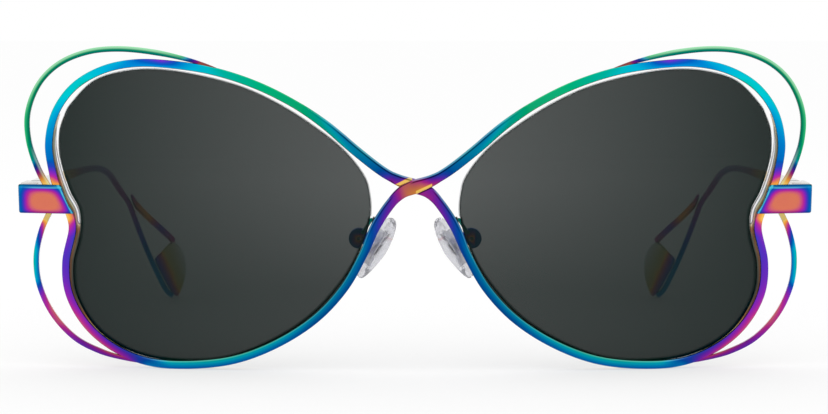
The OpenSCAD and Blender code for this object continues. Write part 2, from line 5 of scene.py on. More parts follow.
import bmesh
import bpy
import numpy as np
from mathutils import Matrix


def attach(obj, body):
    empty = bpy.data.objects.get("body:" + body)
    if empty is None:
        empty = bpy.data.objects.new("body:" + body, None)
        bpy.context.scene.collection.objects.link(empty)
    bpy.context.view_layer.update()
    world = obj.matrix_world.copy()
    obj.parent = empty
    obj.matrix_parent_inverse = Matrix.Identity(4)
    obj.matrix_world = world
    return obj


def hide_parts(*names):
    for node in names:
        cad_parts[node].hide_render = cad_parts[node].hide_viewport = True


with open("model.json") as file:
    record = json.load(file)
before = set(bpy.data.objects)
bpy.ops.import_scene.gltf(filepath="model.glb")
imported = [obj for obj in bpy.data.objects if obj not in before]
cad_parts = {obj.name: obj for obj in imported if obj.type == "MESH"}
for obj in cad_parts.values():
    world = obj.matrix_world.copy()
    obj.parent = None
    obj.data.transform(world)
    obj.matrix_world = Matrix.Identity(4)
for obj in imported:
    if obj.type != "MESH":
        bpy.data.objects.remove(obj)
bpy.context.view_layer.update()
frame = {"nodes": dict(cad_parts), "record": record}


# Camera: straight in front of the frame and a few degrees above the table, so far off that the
# temples stay slim behind the lenses. Lengths here and below are in millimetres, and mm turns them
# into metres where Blender takes them.
mm = 0.001
front_y = -72.617
camera_tilt = math.radians(3.8)
camera_away = 520
aim_x, aim_z = -0.22, 31.14
camera_data = bpy.data.cameras.new("front_view")
camera_data.sensor_width, camera_data.lens = 36, 121.23
camera = bpy.data.objects.new("front_view", camera_data)
camera.location = (aim_x * mm, (front_y - camera_away * math.cos(camera_tilt)) * mm,
                   (aim_z + camera_away * math.sin(camera_tilt)) * mm)
camera.rotation_euler = (math.pi / 2 - camera_tilt, 0, 0)
bpy.context.collection.objects.link(camera)
bpy.context.scene.camera = camera


# Studio: a white table that keeps the soft shadows of the wires, an evenly white room around it,
# and a wide weak lamp overhead, so that the metal shows its own colours and hardly any reflections.
class Tone:
    """A number, colour or vector on its way through a node tree. Arithmetic on it adds nodes."""

    def __init__(self, nodes, socket):
        self.nodes = nodes
        self.socket = socket

    def __getitem__(self, output):
        """Another output of the same node."""
        return Tone(self.nodes, self.socket.node.outputs[output])

    def maths(self, operation, *others):
        return self.nodes.maths(operation, self, *others)

    def vector(self, operation, *others):
        values = dict(enumerate((self, *others)))
        return self.nodes.node("ShaderNodeVectorMath", {"operation": operation}, values)

    def stretched(self, factor):
        values = {0: self, "Scale": factor}
        return self.nodes.node("ShaderNodeVectorMath", {"operation": "SCALE"}, values)

    def size(self):
        return self.maths("ABSOLUTE")

    def above_zero(self):
        return self.maths("MAXIMUM", 0)

    def share(self):
        """Held between 0 and 1."""
        return self.above_zero().maths("MINIMUM", 1)

    def __neg__(self):
        return self.maths("MULTIPLY", -1)

    def __add__(self, other):
        return self.maths("ADD", other)

    def __sub__(self, other):
        return self.maths("SUBTRACT", other)

    def __rsub__(self, other):
        return self.nodes.maths("SUBTRACT", other, self)

    def __mul__(self, other):
        return self.maths("MULTIPLY", other)

    def __truediv__(self, other):
        return self.maths("DIVIDE", other)

    __radd__ = __add__
    __rmul__ = __mul__


class Nodes:
    """Adds nodes to one tree."""

    def __init__(self, tree):
        self.tree = tree

    def node(self, kind, settings=None, sockets=None, output=0):
        """A new node's output, after its settings, a ramp's stops or what it captures, and then the
        values or links of its sockets. A node without outputs comes back itself."""
        node = self.tree.nodes.new(kind)
        for name, value in (settings or {}).items():
            if name == "stops":
                ramp = node.color_ramp.elements
                while len(ramp) < len(value):
                    ramp.new(1)
                for stop, (position, code) in zip(ramp, value):
                    stop.position, stop.color = position, linear(code)
            elif name == "captures":
                for capture in value:
                    node.capture_items.new("VECTOR", capture)
            else:
                setattr(node, name, value)
        self.feed(node, sockets or {})
        return Tone(self, node.outputs[output]) if node.outputs else node

    def feed(self, node, sockets):
        for name, value in sockets.items():
            if isinstance(value, Tone):
                self.tree.links.new(value.socket, node.inputs[name])
            else:
                node.inputs[name].default_value = value

    def maths(self, operation, *values):
        return self.node("ShaderNodeMath", {"operation": operation}, dict(enumerate(values)))

    def joined(self, *values):
        """A vector from its two or three numbers."""
        return self.node("ShaderNodeCombineXYZ", {}, dict(enumerate(values)))

    def parts(self, vector):
        """A vector's numbers, as ["X"], ["Y"] and ["Z"] of what comes back."""
        return self.node("ShaderNodeSeparateXYZ", {}, {0: vector})


class Finish(Nodes):
    """A material around one Principled shader, whose sockets are named with underscores."""

    def __init__(self, name, **constants):
        self.material = bpy.data.materials.new(name)
        self.material.use_nodes = True
        super().__init__(self.material.node_tree)
        self.shader = self.tree.nodes["Principled BSDF"]
        self.shade(**constants)

    def shade(self, **sockets):
        self.feed(self.shader, {name.replace("_", " "): value for name, value in sockets.items()})

    def place(self):
        return self.node("ShaderNodeTexCoord", output="Object")

    def spot(self):
        """Where a point of the surface lies across, back and up, in millimetres."""
        place = self.parts(self.place())
        return [place[axis] / mm for axis in "XYZ"]

    def own(self, name, output="Fac"):
        """The piece's own attribute: a number, or a vector for the output Vector."""
        return self.node("ShaderNodeAttribute", {"attribute_name": name}, output=output)

    def noise(self, scale, detail=3):
        sockets = {"Vector": self.place(), "Scale": scale, "Detail": detail}
        return self.node("ShaderNodeTexNoise", {}, sockets) - 0.5

    def ramp(self, stops, share):
        """A colour ramp, its stops given as places and written colours."""
        return self.node("ShaderNodeValToRGB", {"stops": stops}, {"Fac": share})

    def grain(self, scale, strength):
        """A fine relief, as polishing leaves it."""
        sockets = {"Height": self.noise(scale, 2), "Strength": strength, "Distance": 0.05 * mm}
        self.shade(Normal=self.node("ShaderNodeBump", {}, sockets))


def linear(code):
    """A written colour, RRGGBB, as the light values and alpha that a shader takes."""
    shares = [int(code[k:k + 2], 16) / 255 for k in (0, 2, 4)]
    return [s / 12.92 if s <= 0.04045 else ((s + 0.055) / 1.055) ** 2.4 for s in shares] + [1]


white = (1, 1, 1, 1)
table = Finish("white_table", Base_Color=(0.45, 0.45, 0.45, 1), Roughness=0.9,
               Specular_IOR_Level=0.0)
lit = table.node("ShaderNodeEmission", {}, {"Color": white, "Strength": 0.535})
table_light = table.node("ShaderNodeAddShader", {}, {
    0: Tone(table, table.shader.outputs[0]), 1: lit})
table.feed(table.tree.nodes["Material Output"], {"Surface": table_light})
# The table's edges, in metres. It lies a hair lower than what stands on it
table_left, table_right, table_front, table_back, table_z = -6, 6, -3, 9, -0.03 * mm
table_mesh = bpy.data.meshes.new("table")
table_mesh.from_pydata([(table_left, table_front, table_z), (table_right, table_front, table_z),
                        (table_right, table_back, table_z), (table_left, table_back, table_z)],
                       [], [(0, 1, 2, 3)])
table_mesh.materials.append(table.material)
table_sheet = bpy.data.objects.new("table", table_mesh)
bpy.context.collection.objects.link(table_sheet)

lamp_data = bpy.data.lights.new("overhead_lamp", "AREA")
lamp_data.shape = "RECTANGLE"
lamp_data.size, lamp_data.size_y = 1.0, 0.7
lamp_data.energy = 0.5
lamp = bpy.data.objects.new("overhead_lamp", lamp_data)
lamp.location = (0, -0.15, 0.75)
bpy.context.collection.objects.link(lamp)

world = bpy.data.worlds.new("white_room")
world.use_nodes = True
bpy.context.scene.world = world
room = Nodes(world.node_tree)
room.feed(world.node_tree.nodes["Background"], {"Color": white, "Strength": 1.0})
bpy.context.scene.view_settings.view_transform = "Standard"


# Front strands: two flat steel wires with rounded edges. Each starts at one plaque, runs under that
# lens, crosses the other at the bridge and goes over the other lens. They are bent to the curve of
# the face, brazed where they cross, and rainbow plated: a very thin film gives the colours, and
# painted shade, highlights and reflections lie over them.
front_r = 270
cross_z = 34.8
strand_w, strand_d = 1.5, 1.2
# The colour of each thickness of the film
plating_steps = [
    (0.00, "DEDEDC"), (0.025, "CDB870"), (0.05, "F3C765"), (0.11, "F6A13C"), (0.17, "DC7560"),
    (0.25, "BE2F92"), (0.33, "9027B4"), (0.41, "5A2FBE"), (0.48, "2343B8"), (0.54, "0056B4"),
    (0.61, "0080CC"), (0.69, "00B2D8"), (0.73, "00C2CC"), (0.77, "00B8A4"), (0.85, "00B57C"),
    (0.92, "35CB84"), (1.00, "8FDF9E")]


def strip(finish, foot, rise, way, width, first, last, depth):
    """A strip beside a brazed joint, drawn in front view: from a foot on a rising line, on one side
    of it, between two places across. It goes back from the front face only to a depth."""
    soft_side, soft_end, soft_back = 0.12, 0.1, 0.2
    x, y, z = finish.spot()
    past = way / math.hypot(1, rise) * (z - foot[1] - rise * (x - foot[0]))
    on_width = ((width - past) / soft_side).share()
    on_length = ((x - first) / soft_end).share() * ((last - x) / soft_end).share()
    return on_width * on_length * ((front_y + depth - y) / soft_back).share()


def plated(name, roughness, highlight_code, rim=0.24, fade=0.14, glow=0.0, gold_glint=None,
           contact_shadow=None):
    """Rainbow plating. The piece's own "film" is the thickness of the film, and its dullness
    attribute
    takes brightness away: duller plating and painted shade, and a painted highlight below zero. Its
    bevel attribute holds the distance in from one edge, the strength of the painted dark reflection
    line that the bevel draws there, and that of its painted highlight rim, which is painted shade
    where it is below zero. Beside a joint the film can be thin and gold in one strip, a painted
    gold glint, and a painted contact shadow dark in another. A glow is painted light in the piece's
    own colours."""
    # Where the painted dark reflection line lies in from the edge, and half its width
    line_in, line_half = 0.46, 0.19
    finish = Finish(name, Metallic=1.0)
    film = finish.own("film") + 0.03 * finish.noise(90)
    # Dullness of the plating together with painted shade; below zero it is a painted highlight
    dull = finish.own("dull")
    # A painted gold glint on the bevel beside the joint: the film thins to gold and the painted
    # shade lifts
    if gold_glint:
        in_glint = strip(finish, **gold_glint)
        film = film + (0.05 - film) * in_glint
        dull = dull * (1 - 0.8 * in_glint)
    # A painted contact shadow where the other strand's edge lies over this one
    if contact_shadow:
        dull = dull + (0.9 - dull) * strip(finish, **contact_shadow)
    hue = finish.ramp(plating_steps, film)
    band = finish.parts(finish.own("band", "Vector"))
    # Painted dark reflection line, painted highlight rim in the edge colour, and painted shade
    # where the rim is below zero
    dark_reflection = band["Y"] * (1 - (band["X"] - line_in).size() / line_half).above_zero()
    at_edge = (1 - (band["X"] - rim).above_zero() / fade).above_zero()
    shaded = (-band["Z"]).above_zero() * at_edge
    body = hue.stretched((1 - dark_reflection) * (1 - shaded) * (1 - dull))
    shown = finish.node("ShaderNodeMix", {"data_type": "RGBA"}, {
        0: band["Z"] * at_edge, 6: body, 7: linear(highlight_code)}, output=2)
    # The emission, as strong as glow, is painted light
    finish.shade(Base_Color=shown, Roughness=roughness + 0.06 * finish.noise(700),
                 Emission_Color=shown, Emission_Strength=glow)
    finish.grain(2500, 0.04)
    return finish.material


def smooth_line(points, steps):
    """A smooth open curve through points, with the same number of steps between each two."""
    p = np.array([points[0], *points, points[-1]], float)
    t = np.linspace(0, 1, steps, endpoint=False)[:, None]
    a, b, c, d = p[:-3, None], p[1:-2, None], p[2:-1, None], p[3:, None]
    bend = t * (2 * a - 5 * b + 4 * c - d + t * (3 * (b - c) + d - a))
    spans = b + 0.5 * t * (c - a + bend)
    return np.vstack([spans.reshape(-1, p.shape[1]), p[-1:]])


def smooth_loop(points, steps):
    n = len(points)
    return smooth_line([*points[-2:], *points, *points[:3]], steps)[2 * steps:(n + 2) * steps]


def unit(v):
    return v / np.linalg.norm(v, axis=-1, keepdims=True)


def eased(share):
    """A share, held between 0 and 1, that leaves and arrives gently."""
    share = np.clip(share, 0, 1)
    return share * share * (3 - 2 * share)


def walked(points):
    """Distance along a curve at each of its points."""
    return np.concatenate([[0], np.cumsum(np.linalg.norm(np.diff(points, axis=0), axis=1))])


def heading(points):
    ahead = np.vstack([points[1:], points[-1:]])
    behind = np.vstack([points[:1], points[:-1]])
    return unit(ahead - behind)


def columns_at(table, distance):
    """Each column of a table after its first, which holds distances, at given distances."""
    return np.array([np.interp(distance, table[:, 0], column) for column in table.T[1:]])


def front_y_at(x, z, set_back=0.0):
    """Where a face at this set-back lies on the ball that the whole front follows."""
    return front_y + front_r - np.sqrt((front_r - set_back) ** 2 - x ** 2 - (z - cross_z) ** 2)


def swept_tree():
    """Geometry Nodes: a bar with rounded edges along a rail. The rail's points carry the directions
    of the bar's width and face, half its width and depth, the film and the dullness with painted
    shade at its two edges, and its painted bevel light: which edge that lies along, and its painted
    dark reflection line and painted highlight rim."""
    tree = bpy.data.node_groups.new("swept_bar", "GeometryNodeTree")
    ids = {}
    for name, kind in (("Rail", "Geometry"), ("Rounding", "Float"), ("Corner Steps", "Int"),
                       ("Edge Film", "Float"), ("Finish", "Material")):
        socket = tree.interface.new_socket(name, in_out="INPUT", socket_type="NodeSocket" + kind)
        ids[name] = socket.identifier
    tree.interface.new_socket("Bar", in_out="OUTPUT", socket_type="NodeSocketGeometry")
    g = Nodes(tree)
    given = g.node("NodeGroupInput")

    def carried(name):
        kind = {"data_type": "FLOAT_VECTOR"}
        return g.node("GeometryNodeInputNamedAttribute", kind, {"Name": name})

    # The section is a circle whose points are shared out among four round corners
    steps = given["Corner Steps"]
    index = g.node("GeometryNodeInputIndex")
    quarter = (index / (steps + 1) + 0.001).maths("FLOOR")
    angle = (quarter + (index - quarter * (steps + 1)) / steps) * (math.pi / 2)
    middle = (quarter + 0.5) * (math.pi / 2)
    arc = g.joined(angle.maths("COSINE"), angle.maths("SINE"))
    corner = g.joined(middle.maths("COSINE").maths("SIGN"), middle.maths("SINE").maths("SIGN"))
    ring = g.node("GeometryNodeCurvePrimitiveCircle", {}, {"Resolution": (steps + 1) * 4})
    section = g.node("GeometryNodeCaptureAttribute", {"captures": ["Arc", "Corner"]}, {
        "Geometry": ring})
    g.feed(section.socket.node, {"Arc": arc, "Corner": corner})
    rail = g.node("GeometryNodeMeshToCurve", {}, {"Mesh": given["Rail"]})
    spine = g.node("GeometryNodeCaptureAttribute", {"captures": ["Centre"]}, {"Geometry": rail})
    g.feed(spine.socket.node, {"Centre": g.node("GeometryNodeInputPosition")})
    swept_ring = g.node("GeometryNodeCurveToMesh", {}, {
        "Curve": spine, "Profile Curve": section, "Fill Caps": True})

    half = carried("half")
    rounding = given["Rounding"]
    flat = half.vector("SUBTRACT", g.joined(rounding, rounding))
    rounded_off = section["Arc"].stretched(rounding)
    sides = g.parts(section["Corner"].vector("MULTIPLY", flat).vector("ADD", rounded_off))
    place = spine["Centre"].vector("ADD", carried("across").stretched(sides["X"])).vector(
        "ADD", carried("outward").stretched(sides["Y"]))
    coloured = g.node("GeometryNodeSetPosition", {}, {"Geometry": swept_ring, "Position": place})

    half_width = g.parts(half)["X"]
    share = 0.5 + 0.5 * (sides["X"] / half_width)
    facing = g.parts(section["Arc"])["Y"].above_zero()

    def across_bar(name):
        edges = g.parts(carried(name))
        return edges["X"] + (edges["Y"] - edges["X"]) * share

    # The painted bevel light: distance in from the edge, painted dark reflection line and painted
    # highlight rim, on the front-facing part
    band = g.parts(carried("bevel_lighting_along"))
    from_edge = (half_width - band["X"] * sides["X"]) / mm
    for name, kind, value in (
            ("film", "FLOAT", across_bar("film_edges") + given["Edge Film"] * (1 - facing)),
            ("dull", "FLOAT", across_bar("dull_and_shade_edges")),
            ("band", "FLOAT_VECTOR", g.joined(from_edge, band["Y"] * facing, band["Z"] * facing))):
        coloured = g.node("GeometryNodeStoreNamedAttribute", {"data_type": kind}, {
            "Geometry": coloured, "Name": name, "Value": value})
    smooth = g.node("GeometryNodeSetShadeSmooth", {}, {"Geometry": coloured, "Shade Smooth": True})
    solid = g.node("GeometryNodeRealizeInstances", {}, {"Geometry": smooth})
    finished = g.node("GeometryNodeSetMaterial", {}, {
        "Geometry": solid, "Material": given["Finish"]})
    g.node("NodeGroupOutput", {}, {"Bar": finished})
    return tree, ids


swept, swept_ids = swept_tree()


def tidy(mesh):
    """Merges doubles and turns every face outwards."""
    shape = bmesh.new()
    shape.from_mesh(mesh)
    bmesh.ops.remove_doubles(shape, verts=shape.verts, dist=1e-7)
    bmesh.ops.recalc_face_normals(shape, faces=shape.faces)
    shape.to_mesh(mesh)
    shape.free()


def linked(name, mesh):
    piece = bpy.data.objects.new(name, mesh)
    bpy.context.collection.objects.link(piece)
    return piece


def fitted(piece, node):
    """The piece stands for a node of the frame, on that node's body, and the node is hidden. The
    node's material slot is looked up but not given to the piece.
    """
    bodies = frame["record"]["behaviour"]["bodies"]
    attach(piece, next(body for body, members in bodies.items() if node in members))
    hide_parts(node)
    subparts = frame["record"]["subparts"]
    next(part["material_slot"] for part in subparts if part["node"] == node)


def bar(node, finish, centre, across, outward, half, film, rounding, dull=(0, 0), band=(1, 0, 0),
        edge_film=0.0, corner_steps=4):
    """One swept bar, in place of a node of the frame."""
    count = len(centre)

    def rows(*columns):
        return np.column_stack([np.broadcast_to(np.array(column, float), count)
                                for column in columns])

    rail = bpy.data.meshes.new(node + "_rail")
    rail.from_pydata(np.array(centre) * mm, [(i, i + 1) for i in range(count - 1)], [])
    carried = {"across": across, "outward": outward, "half": rows(*half, 0) * mm,
               "film_edges": rows(*film, 0), "dull_and_shade_edges": rows(*dull, 0),
               "bevel_lighting_along": rows(*band)}
    for name, values in carried.items():
        attribute = rail.attributes.new(name, "FLOAT_VECTOR", "POINT")
        attribute.data.foreach_set("vector", np.ravel(values))
    source = linked(node + "_rail", rail)
    sweep = source.modifiers.new("swept_bar", "NODES")
    sweep.node_group = swept
    sweep[swept_ids["Rounding"]] = rounding * mm
    sweep[swept_ids["Corner Steps"]] = corner_steps
    sweep[swept_ids["Edge Film"]] = edge_film
    sweep[swept_ids["Finish"]] = finish
    depsgraph = bpy.context.evaluated_depsgraph_get()
    mesh = bpy.data.meshes.new_from_object(
        source.evaluated_get(depsgraph), preserve_all_data_layers=True, depsgraph=depsgraph)
    bpy.data.objects.remove(source)
    tidy(mesh)
    fitted(linked(node + "_wire", mesh), node)


def front_bar(node, finish, line, half_width, set_back, depth, film, **more):
    """A bar that lies on the curved front along a line drawn in front view."""
    x, z = line.T
    along = heading(line)
    left = np.column_stack([-along[:, 1], along[:, 0]])
    aside = 0.01
    y = front_y_at(x, z, set_back)
    y_aside = front_y_at(x + aside * left[:, 0], z + aside * left[:, 1], set_back)
    lean = np.sqrt(1 - (x ** 2 + (z - cross_z) ** 2) / front_r ** 2)
    half_depth = depth / 2 / lean
    bar(node, finish, np.column_stack([x, y + half_depth, z]),
        np.column_stack([left[:, 0], (y_aside - y) / aside, left[:, 1]]),
        np.tile([0, -1, 0], (len(x), 1)), (half_width, half_depth), film, **more)


# Centre lines of the two halves of a strand from the crossing, across and up
upper_line = [
    (0, cross_z + 0.1), (3.2, 36.1), (6.6, 38.1), (11.2, 41.7), (16.9, 46.5), (22.7, 50.35),
    (29.75, 53.8), (37.45, 56.28), (45.1, 57.53), (52.5, 57.85), (58.95, 56.57), (64.5, 53.4),
    (68.15, 48.5), (69.5, 42.6), (68.75, 37), (67.9, 34.1)]
lower_line = [
    (0, cross_z + 0.1), (2.65, 33.7), (5, 31.2), (7.5, 27.25), (9.7, 22.2), (13.4, 15.7),
    (18.9, 9.8), (26.3, 5), (34.5, 1.85), (43.5, 0.78), (51.1, 1.33), (57.68, 4.02), (62.7, 8.32),
    (65.82, 13.98), (66.35, 20), (65, 26.3), (65.6, 29.45)]
strand_steps = 12
# Plating of each half: distance from the crossing, film at the upper edge and at the other, and
# dullness with painted shade at both, which is a painted highlight below zero
upper_plating_and_shade = np.array([
    (0, .26, .10, .38, .38), (1.2, .30, .10, .32, .28), (2.4, .40, .13, .36, .25),
    (3.2, .50, .19, .45, .35), (4, .56, .22, .42, .38), (5.5, .55, .38, .28, .28),
    (8, .60, .57, .45, .45), (12, .68, .63, .50, .50), (16, .58, .76, .43, .43),
    (20, .68, .78, .40, .40), (26, .86, .86, .24, .24), (34, .85, .85, .08, .08),
    (44, .76, .73, .10, .10), (48, .66, .70, 0, 0), (50, .60, .66, 0, 0), (52, .44, .66, -.1, -.1),
    (54, .33, .66, -.2, -.2), (57, .46, .64, -.2, -.2), (62, .68, .61, -.05, -.05),
    (66, .70, .70, -.05, -.05), (70, .72, .76, -.1, -.1), (74, .74, .72, -.1, -.1),
    (78, .72, .63, 0, 0), (84, .61, .59, 0, 0), (87, .58, .56, 0, 0), (88.5, .45, .50, -.05, -.05),
    (90, .27, .36, -.05, -.05), (90.8, .12, .30, 0, 0), (92, .06, .12, 0, 0)])
lower_plating_and_shade = np.array([
    (0, .26, .10, .38, .38), (1, .20, .13, .38, .38), (2, .20, .16, .34, .34),
    (3, .27, .20, .37, .37), (4.5, .40, .30, .36, .36), (6, .48, .32, .35, .35),
    (9, .57, .35, .32, .32), (12, .58, .48, .30, .30), (16, .70, .50, .45, .45),
    (20, .68, .54, .50, .50), (32, .72, .52, .50, .50), (38, .75, .54, .40, .40),
    (46, .79, .55, .33, .33), (54, .80, .55, .30, .30), (62, .78, .55, .24, .24),
    (66, .50, .64, .23, .23), (70, .48, .29, .35, .15), (74, .45, .18, .30, .10),
    (78, .39, .19, .15, .05), (82, .35, .20, .10, .05), (86, .38, .29, .10, 0),
    (90, .40, .39, .10, 0), (94, .43, .41, .05, 0), (98, .46, .34, 0, 0), (100.3, .36, .18, 0, 0),
    (101.4, .20, .02, 0, 0)])
# The painted light of the bevel along the upper edge: distance along the strand, painted dark
# reflection line, painted highlight rim. Beside the crossing the front strand's rim shades the rear
# one, as painted shade where the rim is below zero
below_bevel_light = [(-68, 0, 0), (-64, 0, .45), (-54, 0, .45), (-38, 0, .3), (-24, 0, .15),
               (-14, .25, .20), (-9, .65, .40)]
above_bevel_light = [(8, .97, .65), (17, .85, .60), (20, .5, .4), (25, 0, 0)]
front_bevel_light = np.array([
    *below_bevel_light, (-5.2, .85, .50), (-4.4, .2, -.7), (-3.8, 0, -1), (-.8, 0, -1), (0, .9, .3),
    (1, 1, .6), *above_bevel_light])
rear_bevel_light = np.array([
    *below_bevel_light, (-4, .85, .50), (-3, 0, 0), (0.6, 0, 0), (1.2, .95, .6), *above_bevel_light])
# The pale cyan rim is a painted highlight. Beside the joint each strand has a painted gold glint on
# its bevel, and the rear one a painted contact shadow under the front one's edge
plated_front = plated(
    "plated_front", 0.16, "86CCC6", rim=0.16,
    gold_glint=dict(foot=(0.46, 33.63), rise=0.469, way=1, width=0.62, first=0.1, last=3.2,
                    depth=0.9))
plated_rear = plated(
    "plated_rear", 0.16, "86CCC6", rim=0.16,
    gold_glint=dict(foot=(0, 36.3), rise=0.512, way=1, width=0.85, first=-4.5, last=-0.5,
                    depth=1.9),
    contact_shadow=dict(foot=(0.46, 33.63), rise=0.469, way=-1, width=0.34, first=0.5, last=4.2,
                depth=1.9))
# Both strands grow wider towards the joint, from further off above it than below. The rear one
# dips behind the front one, and its film is held thicker there
joint_reach, joint_extra_w, nose_extra_w, lower_extra_w = 5, 1.2, 0.4, 0.1
swell_above, swell_below, swell_soft = 27, 16, 0.4
dip_reach, dip_over, dip_gap = 5.6, 2.3, 0.03
rear_joint, rear_film_top, rear_film_under = 4.6, 0.36, 0.27

for node, side, finish, bevel_light in (("front_strand", 1, plated_front, front_bevel_light),
                                  ("rear_strand", -1, plated_rear, rear_bevel_light)):
    line = smooth_line([(-x, z) for x, z in lower_line[:0:-1]] + upper_line, strand_steps)
    distance = walked(line)
    distance = distance - distance[(len(lower_line) - 1) * strand_steps]
    film_top, film_under, dull_and_shade_top, dull_and_shade_under = np.where(
        distance > 0, columns_at(upper_plating_and_shade, distance), columns_at(lower_plating_and_shade, -distance))
    far = np.hypot(line[:, 0], line[:, 1] - cross_z)
    swell = np.where(line[:, 1] > cross_z, swell_above, swell_below)
    extra_w = np.where(far < joint_reach,
                       np.interp(far, [0, joint_reach], [joint_extra_w, nose_extra_w]),
                       nose_extra_w * np.clip((swell - far) / (swell_soft * swell), 0, 1))
    extra_w += lower_extra_w * np.interp(distance, [-70, -64, -16, -10], [0, 1, 1, 0])
    dip = np.zeros(len(line))
    if node == "rear_strand":
        dip = eased((dip_reach - np.abs(line[:, 0])) / dip_over)
        at_joint = np.abs(distance) < rear_joint
        film_top[at_joint] = np.maximum(film_top[at_joint], rear_film_top)
        film_under[at_joint] = np.maximum(film_under[at_joint], rear_film_under)
    front_bar(node, finish, line * [side, 1], (strand_w + extra_w) / 2, dip * (strand_d + dip_gap),
              strand_d, (film_under, film_top)[::side], rounding=0.36,
              dull=(dull_and_shade_under, dull_and_shade_top)[::side], band=(side, *columns_at(bevel_light, distance)),
              edge_film=0.05)


# Wings: thin round wires that leave the rim, swing outward and come back to the plaque. They are
# brazed to the rim and to the back of the plaque, and run out to thin ends along the rim.
upper_wing_line = [
    (36.5, 56.5), (41.5, 58.2), (48.6, 59.8), (55.8, 60.5), (62, 59.9), (67.45, 57.7),
    (71.4, 53.9), (73.6, 48.5), (73.45, 43), (71.6, 37.6), (69.5, 34)]
lower_wing_line = [
    (50, 0.9), (54.53, 1.62), (59.87, 3), (64.95, 5.55), (69.2, 10.1), (71.7, 15.6), (72.2, 21),
    (71.1, 26), (69.4, 29.6)]
# Plating from the rim: distance, film at the outer edge and at the inner, and dullness with painted
# shade at both; the inner edge is darker as painted shade
upper_wing_plating_and_shade = np.array([
    (0, .20, .15, .7, .7), (4, .20, .15, .6, .6), (8, .95, .72, .1, .8), (14, .97, .72, 0, .85),
    (20, .97, .72, 0, .85), (26, .97, .74, 0, .8), (38, .96, .80, .05, .75),
    (44, .95, .82, .10, .7), (48, .93, .80, .10, .75), (50.5, .90, .72, .2, .8),
    (52.5, .80, .70, .4, .75), (54, .54, .40, .5, .7), (55.3, .26, .20, .5, .6),
    (56.5, .12, .10, .3, .3), (57.8, .04, .04, 0, 0)])
lower_wing_plating_and_shade = np.array([
    (0, .30, .24, .3, .3), (5, .38, .20, .35, .35), (8, .40, .18, .4, .4), (14, .40, .32, .25, .5),
    (17, .34, .26, .2, .3), (20, .24, .20, .25, .2), (23, .28, .20, .1, .15), (26, .36, .28, 0, .2),
    (27.5, .48, .42, 0, .2), (29, .72, .58, .1, .3), (32, .80, .58, .15, .3),
    (35, .77, .60, .1, .3), (38, .58, .26, .15, .3), (40, .28, .12, .1, .1),
    (41, .035, .03, .1, .1), (43, .025, .025, 0, 0)])
# The painted highlight line of the upper wing lies on its outer edge, and beside the plaque on its
# inner one
wing_highlight_at, wing_highlight = [6, 13, 38, 44, 50, 53, 56], [0, 0.6, 0.5, 0, 0, 0.35, 0.35]
highlight_turns_in = 46
plated_wing = plated("plated_wing", 0.18, "C4EFC9", rim=0.28, fade=0.3)
wing_w, thin_end, thick_end = 1.05, 0.35, 1.3
wing_steps = 10
# The wearer's left lies towards +X
both_sides = ("left", 1), ("right", -1)

for name, side in both_sides:
    for wing, outline, plating, outer in (
            ("upper_wing", upper_wing_line, upper_wing_plating_and_shade, 1),
            ("lower_wing", lower_wing_line, lower_wing_plating_and_shade, -1)):
        line = smooth_line(outline, wing_steps)
        distance = walked(line)
        film_outer, film_inner, dull_and_shade_outer, dull_and_shade_inner = columns_at(plating, distance)
        grown = np.clip(np.arange(len(line)) / (2 * wing_steps), 0, 1)
        half_width = wing_w / 2 * (thin_end + (1 - thin_end) * grown)
        painted_highlight = 0
        if wing == "upper_wing":
            half_width *= np.interp(distance, [50, 58], [1, thick_end])
            painted_highlight = np.interp(distance, wing_highlight_at, wing_highlight)
        lit_edge = outer * side * np.where(distance < highlight_turns_in, 1, -1)
        front_bar(f"{name}_{wing}", plated_wing, line * [side, 1], half_width, strand_d - wing_w,
                  wing_w, (film_inner, film_outer)[::outer * side], rounding=0.17,
                  dull=(dull_and_shade_inner, dull_and_shade_outer)[::outer * side], band=(lit_edge, 0, painted_highlight),
                  edge_film=-0.03)


# Lens wires: half rims of gold-plated wire, brazed to the back of the strands. Each starts high at
# the temple side, follows the lens down and round, and ends beside the nose.
lens_line = [
    (8.4, 29.2), (8.5, 33.2), (9.6, 36.9), (13.5, 41.8), (19.1, 46.2), (25.4, 50.15), (32.1, 53.25),
    (39.7, 55.35), (47.6, 56.6), (54.5, 56.4), (60.8, 54.5), (65.25, 50.2), (66.65, 47.7),
    (67.6, 44.5), (67.45, 39.7), (65.65, 33.8), (63.7, 29.8), (63.7, 25), (65, 19.5), (64.3, 13.2),
    (60.2, 6.8), (53.1, 2.7), (44.1, 1.3), (35.4, 2.1), (26.7, 5.6), (19.1, 10.8), (13, 17.9),
    (9.6, 24.6)]
lens_steps = 8
lens_edge = smooth_loop(lens_line, lens_steps)
lens_walked = walked(lens_edge)
# Which points of the lens line are the upper end of the lens wire and its first touch of the lens
wire_start, wire_meets = 12, 14
wire_d = 2.0


def beside(loop, out):
    """A closed loop moved outwards, by one distance or by one for each point."""
    along = unit(np.roll(loop, -1, axis=0) - np.roll(loop, 1, axis=0))
    return loop + np.reshape(out, (-1, 1)) * np.column_stack([-along[:, 1], along[:, 0]])


# Gold plating, in tones from near black through olive and gold to cream, silver and white. The near
# black and olive are painted shade where the wire reflects the dark lens, the cream and white are
# painted highlights, and the dark stop after the cream a painted dark line
gold_shade_and_highlight_steps = [
    (0.0, "1C2422"), (0.15, "343C38"), (0.35, "6E6850"), (0.5, "A86E44"), (0.65, "B89460"),
    (0.78, "E6D2A8"), (0.84, "DCC8A0"), (0.88, "66604E"), (0.93, "C4C8CE"), (0.96, "FAF8F8")]
gold = Finish("gold_wire", Metallic=0.3, Specular_IOR_Level=0.2)
gold.shade(Base_Color=gold.ramp(gold_shade_and_highlight_steps, gold.own("film")),
           Roughness=0.35 + 0.1 * gold.noise(600))
gold.grain(2500, 0.05)
